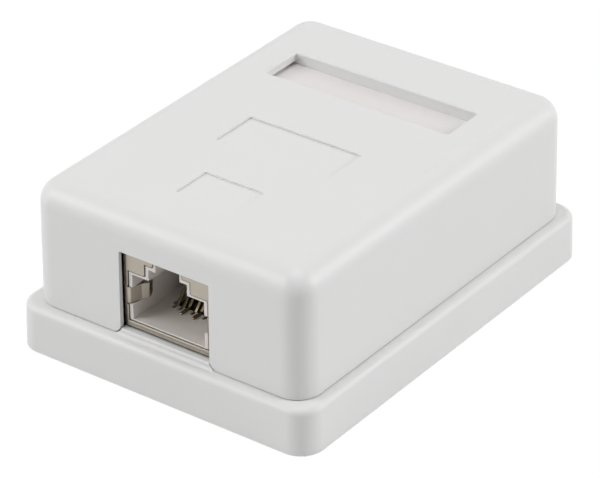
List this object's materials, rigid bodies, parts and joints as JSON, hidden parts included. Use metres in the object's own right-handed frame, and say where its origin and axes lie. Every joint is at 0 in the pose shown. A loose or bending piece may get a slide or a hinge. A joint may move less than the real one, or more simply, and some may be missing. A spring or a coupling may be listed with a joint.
{
  "type": "surface mount jack box",
  "caption": "Surface mount box for a shielded modular data jack: tray base, lift-off cover with label window, circuit board, insulation displacement blocks and cable clamp.",
  "frame": {"origin": "centre of the base's underside, on the wall", "axes": "+Z away from the wall, -Y out of the plug opening, +X along the width"},
  "size_m": [0.049, 0.0658, 0.0253],
  "materials": {
    "case_white": "fine moulded satin",
    "label_paper": "uncoated card",
    "jack_nickel": "satin nickel plate",
    "jack_plastic": "moulded thermoplastic",
    "insert_black": "moulded thermoplastic",
    "contact_gold": "gold plate",
    "board_green": "solder resist over glass fibre board",
    "idc_plastic": "moulded",
    "idc_tin": "tin plate",
    "can_tin": "tin-plated sheet",
    "screw_steel": "zinc plate"
  },
  "bodies": {
    "box": {"base": "case_white", "jack_shield": "jack_nickel", "jack_housing": "jack_plastic", "contact_carrier": "insert_black", "circuit_board": "board_green", "idc_block_left": "idc_plastic", "idc_block_right": "idc_plastic", "shield_tray": "can_tin", "shield_lid": "can_tin", "cable_clamp": "can_tin", "board_screws": "screw_steel", "clamp_screws": "screw_steel", "contact_1": "contact_gold", "contact_2": "contact_gold", "contact_3": "contact_gold", "contact_4": "contact_gold", "contact_5": "contact_gold", "contact_6": "contact_gold", "contact_7": "contact_gold", "contact_8": "contact_gold", "idc_contact_1": "idc_tin", "idc_contact_2": "idc_tin", "idc_contact_3": "idc_tin", "idc_contact_4": "idc_tin", "idc_contact_5": "idc_tin", "idc_contact_6": "idc_tin", "idc_contact_7": "idc_tin", "idc_contact_8": "idc_tin"},
    "cover": {"cover": "case_white", "label_card": "label_paper"}
  },
  "joints": [
    {"name": "cover_lift", "type": "slide", "parent": "box", "child": "cover", "axis": [0, 0, 1], "range_m": [0, 0.03]}
  ]
}
